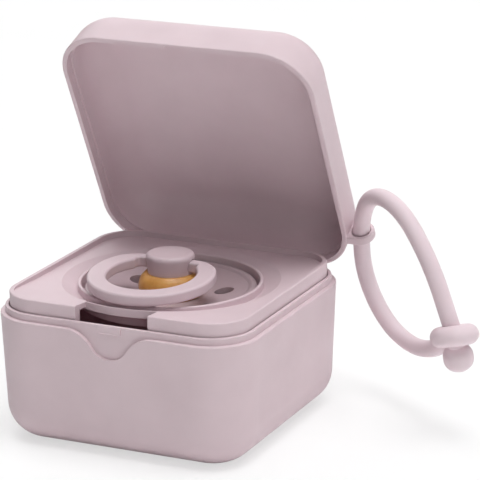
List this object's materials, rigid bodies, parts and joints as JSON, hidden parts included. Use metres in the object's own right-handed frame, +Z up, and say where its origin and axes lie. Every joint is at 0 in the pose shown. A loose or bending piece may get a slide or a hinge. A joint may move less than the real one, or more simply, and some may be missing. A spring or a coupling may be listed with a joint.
{
  "type": "pacifier sterilizer case",
  "caption": "Square rounded carry case with hinged lid, lift-out tray holding a pacifier by its shield, and a moulded strap loop on the lid.",
  "frame": {"origin": "centre of the case's flat underside", "axes": "+Z up, -Y out of the case's front, hinge along X at the back, strap on the +X side"},
  "size_m": [0.1167, 0.084, 0.1024],
  "materials": {
    "case_plastic": "satin moulded, dusty pink",
    "pin_steel": "drawn wire",
    "lid_plastic": "satin moulded, dusty pink",
    "strap_silicone": "matte silicone, pale pink-grey",
    "tray_plastic": "satin moulded, pale pink",
    "shield_plastic": "soft gloss, pale pink",
    "teat_latex": "smooth amber latex",
    "plug_plastic": "plain moulded",
    "knob_plastic": "soft gloss, dusty pink",
    "ring_plastic": "soft gloss, pale pink"
  },
  "bodies": {
    "case_base": {"base_shell": "case_plastic", "hinge_pin": "pin_steel"},
    "lid": {"lid_shell": "lid_plastic"},
    "strap": {"carry_strap": "strap_silicone"},
    "tray_body": {"tray": "tray_plastic"},
    "pacifier": {"pacifier_shield": "shield_plastic", "pacifier_teat": "teat_latex", "teat_plug": "plug_plastic", "pacifier_knob": "knob_plastic"},
    "handle": {"pacifier_ring": "ring_plastic"}
  },
  "joints": [
    {"name": "lid_hinge", "type": "hinge", "parent": "case_base", "child": "lid", "pos_m": [0, 0.0368, 0.033], "axis": [-1, 0, 0], "range_deg": [-63.8, 46.2]},
    {"name": "tray_lift", "type": "slide", "parent": "case_base", "child": "tray_body", "axis": [0, 0, 1], "range_m": [0, 0.024]},
    {"name": "pacifier_lift", "type": "slide", "parent": "tray_body", "child": "pacifier", "axis": [0, 0, 1], "range_m": [0, 0.034]},
    {"name": "ring_pivot", "type": "hinge", "parent": "pacifier", "child": "handle", "pos_m": [0, 0, 0.04215], "axis": [-1, 0, 0], "range_deg": [0, 165]},
    {"name": "strap_swing", "type": "hinge", "parent": "lid", "child": "strap", "pos_m": [0.0388, 0.03616, 0.04494], "axis": [0.0857, -0.3388, 0.9369], "range_deg": [-40, 110]}
  ]
}
